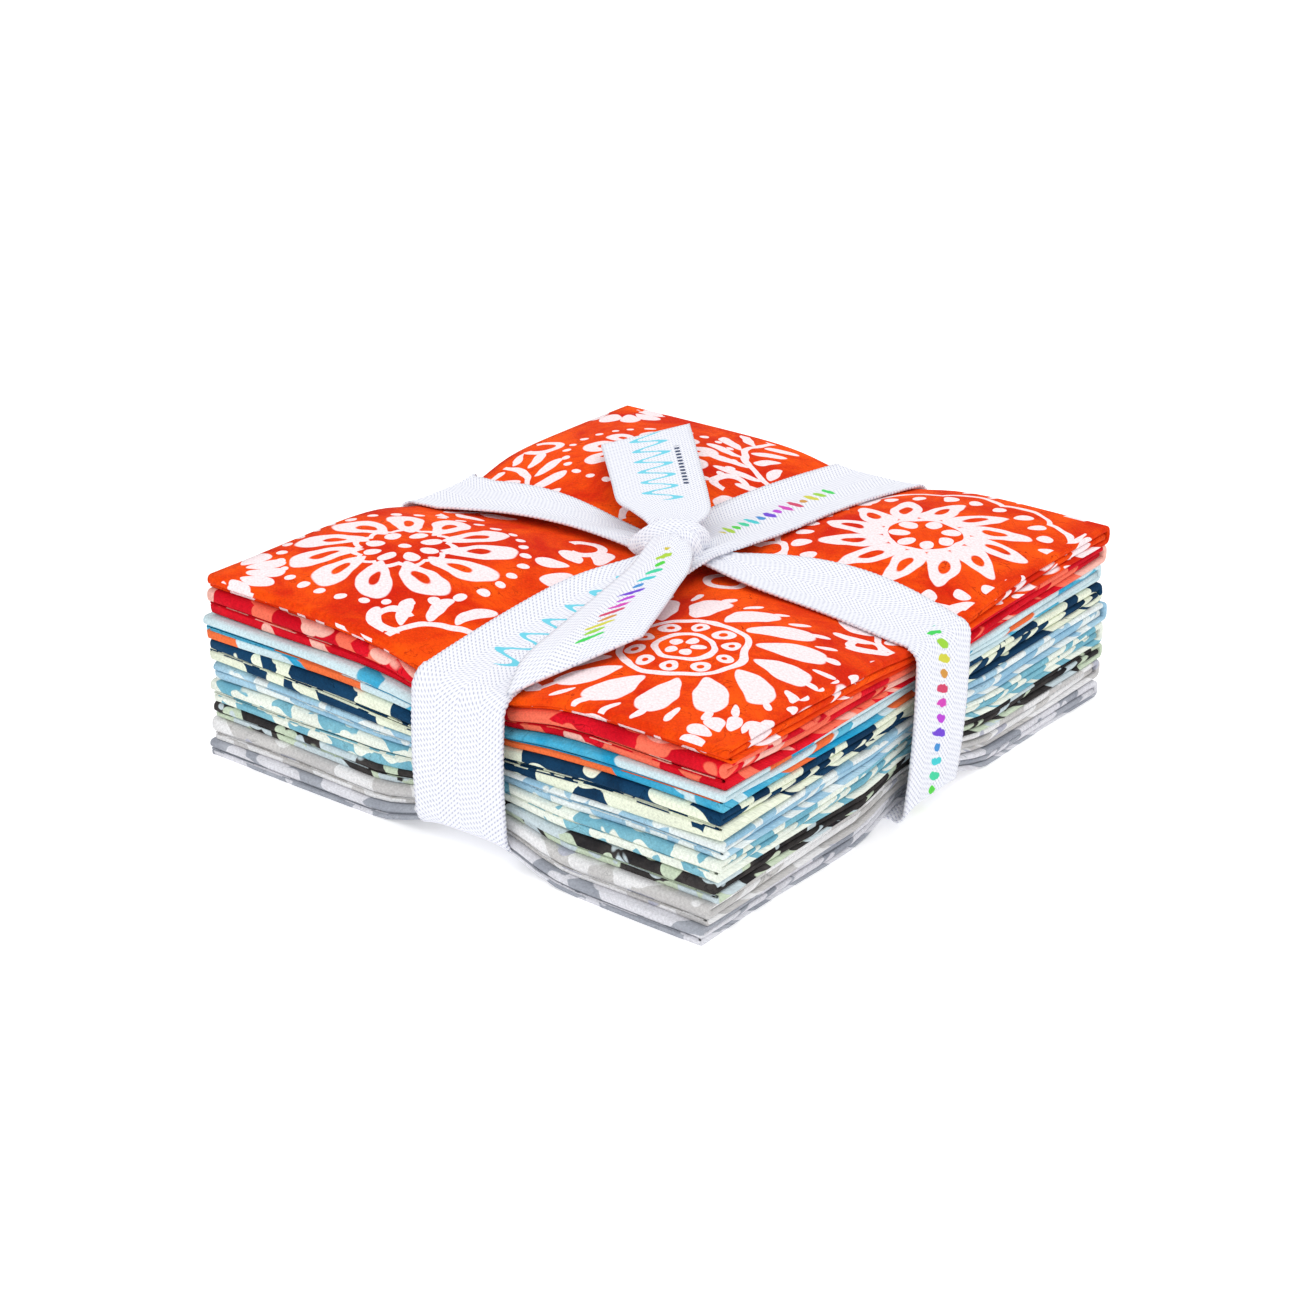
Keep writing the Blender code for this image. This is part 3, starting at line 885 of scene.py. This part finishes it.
def makeScallopRing():
    # a drawn line round a centre, plain or scalloped; all lengths in mm
    group, given, result = newGroup("scallopRing", {
        "Vector": None, "Centre X": 0.0, "Centre Y": 0.0, "Radius": 10.0, "Stroke": 0.7,
        "Scallops": 0.0, "Depth": 0.0, "Turn": 0.0, "Arc": 4.0}, ["Mask"])
    radius, angle, inArc = aroundCentre(group, given)
    half = times(group, times(group, angle, given["Scallops"]), 0.5)
    lobes = times(group, calc(group, "ABSOLUTE", calc(group, "COSINE", half)), given["Depth"])
    away = calc(group, "ABSOLUTE", minus(group, radius, plus(group, given["Radius"], lobes)))
    edge = plus(group, given["Stroke"], 0.08)
    line = minus(group, 1.0, between(group, away, given["Stroke"], edge))
    group.links.new(times(group, line, inArc), result["Mask"])


def makeHerringbone():
    # slanted rows of small dots that turn back at each column
    group, given, result = newGroup(
        "herringbone", {"Vector": None, "Pitch": 0.0012, "Column": 0.00625, "Yarn": 0.00085}, ["Height"])
    parts = split(group, given["Vector"])
    slant = plus(group, calc(group, "PINGPONG", parts[0], given["Column"]), parts[1])
    rib = calc(group, "SINE", times(group, over(group, slant, given["Pitch"]), 2 * math.pi))
    yarn = calc(group, "SINE", times(group, over(group, parts[0], given["Yarn"]), 2 * math.pi))
    height = timesPlus(group, times(group, rib, yarn), 0.45, times(group, rib, 0.40))
    group.links.new(timesPlus(group, height, 0.5, 0.5), result["Height"])


for makeEffect in (makePlainWeave, makeDyeMottle, makeBlobPrint, makePetalRing, makeScallopRing,
                   makeHerringbone):
    makeEffect()


def useEffect(tree, name, inputs):
    return addNode(tree, "ShaderNodeGroup", inputs, node_tree=effects[name]).outputs


# Printed cottons.  shapes: colour, then how sparse the shape is (over the cloth, and at its
# free end), its size, the size of its bumps and how far they stand out
prints = {
    "cloth_1_blue_grey": dict(
        ground=(0.42, 0.44, 0.49), deep=(0.30, 0.32, 0.37), mottle=55,
        shapes=[((0.74, 0.74, 0.79), 0.47, 0.52, 75, 230, 0.16)]),
    "cloth_2_pale_grey": dict(
        ground=(0.60, 0.59, 0.58), deep=(0.52, 0.51, 0.51), mottle=45,
        shapes=[((0.82, 0.82, 0.83), 0.46, 0.48, 75, 160, 0.20),
                ((0.50, 0.51, 0.60), 0.62, 0.66, 80, 260, 0.16)]),
    "cloth_3_charcoal": dict(
        ground=(0.060, 0.054, 0.052), deep=(0.018, 0.017, 0.019), mottle=90,
        shapes=[((0.58, 0.68, 0.52), 0.55, 0.42, 80, 190, 0.24),
                ((0.58, 0.68, 0.72), 0.58, 0.50, 70, 240, 0.20)]),
    "cloth_4_blue_cream": dict(
        ground=(0.24, 0.52, 0.62), deep=(0.15, 0.40, 0.52), mottle=60,
        shapes=[((0.84, 0.89, 0.80), 0.46, 0.43, 120, 190, 0.42)]),
    "cloth_5_soft_blue": dict(
        ground=(0.42, 0.63, 0.76), deep=(0.27, 0.49, 0.66), mottle=60,
        shapes=[((0.80, 0.87, 0.87), 0.47, 0.47, 90, 190, 0.34)]),
    "cloth_6_navy_mint": dict(
        ground=(0.008, 0.052, 0.125), deep=(0.004, 0.026, 0.066), mottle=60,
        shapes=[((0.84, 0.89, 0.72), 0.46, 0.38, 85, 170, 0.55)]),
    "cloth_7_sky_coral": dict(
        ground=(0.12, 0.48, 0.66), deep=(0.010, 0.31, 0.56), mottle=50,
        shapes=[((0.62, 0.78, 0.83), 0.42, 0.56, 45, 130, 0.20),
                ((0.88, 0.17, 0.05), 0.66, 0.50, 36, 110, 0.10)]),
    "cloth_8_crimson": dict(
        ground=(0.76, 0.008, 0.022), deep=(0.52, 0.002, 0.012), mottle=60,
        shapes=[((0.93, 0.17, 0.10), 0.50, 0.52, 55, 170, 0.22),
                ((0.94, 0.50, 0.42), 0.62, 0.64, 75, 150, 0.20)]),
    "cloth_9_orange_floral": dict(
        ground=(0.98, 0.098, 0.003), deep=(0.64, 0.017, 0.002), mottle=48, shapes=[]),
}

# The flowers on the top cloth, in mm from the corner of its top panel
flowers = {
    "white": (0.95, 0.80, 0.82, 1.0),
    "panel": (139.8, 152.4),  # one folded panel, so that every ply repeats it
    "start": 150.8,  # where the top panel begins along the cloth
    "wobble": 3.2,  # how unevenly it is drawn, and how closely that changes
    "wobbleScale": 0.12,
    # rings of leaves and dots, then drawn lines; a value left out is as in the effect
    "drawing": {
        "petalRing": [
            # x, y, radius, length, width, taper, count, turn, lean, hollow, arc
            (108, 32, 22.4, 7, 3.7, 0.45, 14, 0.2, 0.012),
            (108, 32, 10.2, 2.2, 2.1, 0.20, 10, 0, 0, 0.14), (108, 32, 3.2, 1.5, 1.4, 0, 5, 0.4),
            (108, 32, 30, 2.6, 1, 0.20, 28, 0.1, 0.012),
            (27, 35, 17.5, 8.4, 3.9, 0.55, 11, 0.5, -0.014, 0.13), (27, 35, 7, 2.2, 1.8, 0.20, 8, 0.2),
            (27, 35, 1, 1.6, 1.6, 0, 1, 0.2), (27, 35, 27.6, 1.3, 1.3, 0, 32),
            (114, 117, 17, 8, 3.6, -0.30, 12, 0.3, 0.016, 0.14), (114, 117, 6.2, 2.2, 1.9, 0.20, 7),
            (114, 117, 28.4, 2.2, 1.7, 0.30, 26), (33, 120, 11, 5.6, 3.2, 0.55, 9, 0, 0, 0.10),
            (33, 120, 3, 1.3, 1.2, 0, 5), (33, 120, 20.6, 1.1, 1.1, 0, 26),
            (66, 146, 24, 4.6, 1.9, 0.30, 20, -2, 0.030, -1, 1.7),
            (66, 146, 14, 3.6, 1.7, 0.30, 14, -2, -0.040, -1, 1.7),
            (4, 84, 21, 4.2, 1.9, 0.20, 18, 0.2, -0.030, -1, 1.4),
            (4, 84, 10, 3.6, 1.9, 0.20, 9, 0.2, 0.040, -1, 1.4),
            (66, 2, 21, 4.4, 1.9, 0.30, 18, 1.6, 0.030, -1, 1.5),
            (142, 76, 17, 4.4, 1.9, 0.30, 15, 3.1, 0.030, -1, 1.6),
            (142, 76, 7.6, 3, 1.9, 0.30, 8, 3.1, -0.040, -1, 1.6), (2, 4, 9, 4.4, 2.4, 0.40, 12),
            (140, 4, 8, 3.2, 2, 0.40, 12), (68, 102, 8, 4.4, 2.6, 0.40, 7, 0.4, 0, 0.12),
            (2, 150, 9, 4.4, 2.6, 0.40, 11, 0.4), (64, 56, 9, 4, 2.4, 0.40, 8, 0.4),
        ],
        "scallopRing": [
            # x, y, radius, stroke, scallops, depth, turn, arc
            (108, 32, 13.6, 0.75), (108, 32, 6.4), (27, 35, 10.2, 0.75, 11, 1.4, 0.5),
            (114, 117, 9.2, 0.65), (114, 117, 32, 0.70, 13, 2.6, 0.3), (33, 120, 5.6, 0.55),
            (66, 146, 19, 0.75, 0, 0, -2, 1.7), (4, 84, 15.4, 0.70, 0, 0, 0.2, 1.4),
            (66, 2, 15.6, 0.75, 0, 0, 1.6, 1.5), (142, 76, 12, 0.70, 0, 0, 3.1, 1.6),
            (54, 66, 4.2, 1.05, 0, 0, 0.6, 2.3), (48, 8, 3.8, 1, 0, 0, 3.4, 2.3),
            (52, 90, 3.8, 0.95, 0, 0, 1.9, 2.3), (90, 72, 4.2, 1, 0, 0, 4.6, 2.3),
            (58, 118, 3.9, 1, 0, 0, 2.6, 2.3), (6, 112, 4.2, 1, 0, 0, 0.2, 2.4),
            (88, 92, 3.8, 1, 0, 0, 0.8, 2.4), (78, 8, 3.6, 0.95, 0, 0, 2.6, 2.4),
            (134, 62, 3.6, 0.95, 0, 0, 5.4, 2.4),
        ],
    },
}


def floralMask(tree, uv):
    size = flowers["panel"]
    parts = split(tree, uv)
    x = times(tree, parts[0], 1000.0)
    y = timesPlus(tree, parts[1], 1000.0, 2 * size[1] - flowers["start"])
    x = calc(tree, "WRAP", x, size[0], 0.0)
    y = calc(tree, "WRAP", y, size[1], 0.0)
    flat = addNode(tree, "ShaderNodeCombineXYZ", {0: x, 1: y}).outputs[0]
    cloud = noise(tree, flat, flowers["wobbleScale"], 1.0)["Color"]
    shift = calcVector(tree, "SUBTRACT", cloud, (0.5,) * 3)
    wobble = calcVector(tree, "MULTIPLY", shift, (flowers["wobble"],) * 3)
    drawn = calcVector(tree, "ADD", flat, wobble)
    mask = 0.0
    for effect, rows in flowers["drawing"].items():
        for row in rows:
            ring = useEffect(tree, effect, dict(enumerate((drawn, *row))))
            mask = calc(tree, "MAXIMUM", ring[0], mask)
    return mask


# The cotton itself: its weave (metres), painted shade in the low places of the weave, grain and shader
# values
cotton = {
    "weavePitch": 0.0004,
    "weaveShade": (0.10, 0.91),
    "shift": (0.71, 0.37, 1.0),  # moves the print of each cloth, times its number
    "grainScale": 1600.0,
    "grainDepth": 0.62,
    "crackle": 0.75,
    "crackleShade": 0.45,
    "paleShape": 0.90,
    "freeEndZone": (0.050, 0.030),  # from the cut end, where the print is set for itself
    "bump": {"Strength": 0.35, "Distance": 0.00012},
    "shader": {"Roughness": 0.85, "Sheen Weight": 0.01, "Sheen Roughness": 0.5,
               "Specular IOR Level": 0.05},
}


def finishLook(tree, shader, colour, height, look):
    bump = addNode(tree, "ShaderNodeBump", {"Height": height, **look["bump"]})
    fill(tree, shader, {"Base Color": colour, "Normal": bump.outputs[0], **look["shader"]})


def printedCotton(node, look):
    material, tree, shader = newMaterial(node.split("_", 2)[2] + "Cotton")
    uv = addNode(tree, "ShaderNodeTexCoord", {}).outputs["UV"]
    number = float(node.split("_")[1])
    moved = calcVector(tree, "ADD", uv, tuple(number * share for share in cotton["shift"]))
    dye = useEffect(tree, "dyeMottle", {"Vector": moved, "Scale": look["mottle"]})
    colour = blendColours(tree, dye["Mottle"], (*look["deep"], 1.0), (*look["ground"], 1.0))
    fleck = times(tree, dye["Crackle"], cotton["crackle"])
    colour = blendColours(tree, fleck, colour, (*(cotton["crackleShade"] * c for c in look["deep"]), 1.0))
    parts = split(tree, uv)
    zone = cotton["freeEndZone"]
    freeEndZone = between(tree, parts[1], quarter["cutShort"] - zone[0], quarter["cutShort"] - zone[1])
    for shape, sparse, endSparse, scale, small, bumps in look["shapes"]:
        level = timesPlus(tree, freeEndZone, endSparse - sparse, sparse)
        blob = useEffect(tree, "blobPrint", {
            "Vector": moved, "Scale": scale, "Small": small, "Bumps": bumps, "Level": level})
        pale = tuple(c * cotton["paleShape"] for c in shape)
        tint = blendColours(tree, dye["Mottle"], (*pale, 1.0), (*shape, 1.0))
        colour = blendColours(tree, blob[0], colour, tint)
    if not look["shapes"]:
        colour = blendColours(tree, floralMask(tree, uv), colour, flowers["white"])
    weave = useEffect(tree, "plainWeave", {"Vector": uv, "Pitch": cotton["weavePitch"]})[0]
    grain = noise(tree, uv, cotton["grainScale"], 2.0)["Fac"]
    # the weave's low places darken the colour: painted shade between the threads; the grain noise is the
    # cloth's own uneven tone
    depth, level = cotton["weaveShade"]
    weaveHollowShade = timesPlus(tree, weave, depth, level)
    shade = timesPlus(tree, minus(tree, grain, 0.5), cotton["grainDepth"], weaveHollowShade)
    shadeColour = addNode(tree, "ShaderNodeCombineColor", {0: shade, 1: shade, 2: shade}).outputs[0]
    shaded = addNode(tree, "ShaderNodeMix", {0: 1.0, 6: colour, 7: shadeColour}, data_type="RGBA",
                     blend_type="MULTIPLY").outputs[2]
    finishLook(tree, shader, shaded, weave, cotton)
    return material


for node, sheet in sheets.items():
    sheet.data.materials.append(printedCotton(node, prints[node]))
print("printed the cottons")


# The look of the tape, and its printed marks in metres along it: waves with dashes, then
# coloured strokes
marks = {
    "repeat": 0.5,
    "teal": (0.14, 0.60, 0.74, 1.0),
    "ink": (0.03, 0.05, 0.12, 1.0),
    "waves": (0.000, 0.048),
    "wavePeriod": 0.0078,
    "waveSwing": 0.0040,
    "waveStroke": 0.0011,
    "dashes": (0.010, 0.036),
    "dashPlace": 0.0072,  # off the middle of the tape
    "dashPitch": 0.0021,
    "dashShare": 0.6,
    "dashStroke": 0.0006,
    "dots": (0.080, 0.126),
    "dotPitch": 0.0034,
    "dotStroke": 0.0009,
    "dotSlant": 0.35,
    "dotTall": (0.0015, 0.0012),
    "edge": 0.0002,
    "hueStep": 0.093,
    "hueShades": (0.94, 0.60),
    "uneven": 0.0014,
    "unevenScale": 420.0,
    "threadScale": 900.0,
    "threadShare": 0.3,
    "grooveShadeZone": (0.06, 0.60),
    "bump": {"Strength": 0.5, "Distance": 0.0002},
    # low is painted shade in the twill's grooves, bluish as in shade; high is the white tape's own colour
    "low": (0.43, 0.45, 0.58, 1.0),
    "high": (0.835, 0.845, 0.895, 1.0),
    "shader": {"Roughness": 0.85, "Sheen Weight": 0.1, "Specular IOR Level": 0.25},
}


def twillTapeMaterial():
    material, tree, shader = newMaterial("whiteTwill")
    uv = addNode(tree, "ShaderNodeTexCoord", {}).outputs["UV"]
    parts = split(tree, uv)
    twill = useEffect(tree, "herringbone", {"Vector": uv})[0]
    middle = minus(tree, parts[0], tape["width"] / 2)
    place = times(tree, calc(tree, "FRACT", over(tree, parts[1], marks["repeat"])), marks["repeat"])

    def within(zone):
        begun = calc(tree, "GREATER_THAN", place, zone[0])
        return times(tree, begun, calc(tree, "LESS_THAN", place, zone[1]))

    def stroke(distance, width):
        return minus(tree, 1.0, between(tree, distance, width, width + marks["edge"]))

    cloud = noise(tree, uv, marks["unevenScale"], 1.0)["Fac"]
    rough = times(tree, minus(tree, cloud, 0.5), marks["uneven"])
    swing = calc(tree, "SINE", times(tree, place, 2 * math.pi / marks["wavePeriod"]))
    swing = times(tree, swing, marks["waveSwing"])
    wave = calc(tree, "ABSOLUTE", plus(tree, minus(tree, middle, swing), rough))
    teal = times(tree, stroke(wave, marks["waveStroke"]), within(marks["waves"]))
    dashLine = calc(tree, "ABSOLUTE", minus(tree, middle, marks["dashPlace"]))
    dashPart = calc(tree, "FRACT", over(tree, place, marks["dashPitch"]))
    dashOn = calc(tree, "LESS_THAN", dashPart, marks["dashShare"])
    ink = times(tree, times(tree, stroke(dashLine, marks["dashStroke"]), dashOn), within(marks["dashes"]))
    slanted = timesPlus(tree, middle, marks["dotSlant"], place)
    cell = over(tree, slanted, marks["dotPitch"])
    number = calc(tree, "FLOOR", cell)
    near = times(tree, minus(tree, calc(tree, "FRACT", cell), 0.5), marks["dotPitch"])
    uneven = calc(tree, "ABSOLUTE", calc(tree, "SINE", times(tree, number, 1.9)))
    tall = timesPlus(tree, uneven, *marks["dotTall"])
    squash = over(tree, middle, over(tree, tall, marks["dotStroke"]))
    reach = calc(tree, "SQRT", timesPlus(tree, near, near, times(tree, squash, squash)))
    dots = times(tree, stroke(plus(tree, reach, rough), marks["dotStroke"]), within(marks["dots"]))
    shades = dict(enumerate(marks["hueShades"], 1))
    hue = calc(tree, "FRACT", times(tree, number, marks["hueStep"]))
    rainbow = addNode(tree, "ShaderNodeCombineColor", {0: hue, **shades}, mode="HSV").outputs[0]

    fine = minus(tree, noise(tree, uv, marks["threadScale"], 2.0)["Fac"], 0.5)
    thread = timesPlus(tree, fine, marks["threadShare"], twill)
    # the twill relief with fine yarn noise blends the colour from low to high: painted shade in the
    # grooves, with the yarn's own uneven tone
    colour = blendColours(
        tree, between(tree, thread, *marks["grooveShadeZone"]), marks["low"], marks["high"])
    colour = blendColours(tree, teal, colour, marks["teal"])
    colour = blendColours(tree, ink, colour, marks["ink"])
    colour = blendColours(tree, dots, colour, rainbow)
    finishLook(tree, shader, colour, thread, marks)
    return material


twillTape.data.materials.clear()
twillTape.data.materials.append(twillTapeMaterial())
print("printed the tape")

for node, sheet in sheets.items():
    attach(sheet, "root")
    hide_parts(node)

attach(twillTape, "root")
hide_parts("tie_tape")
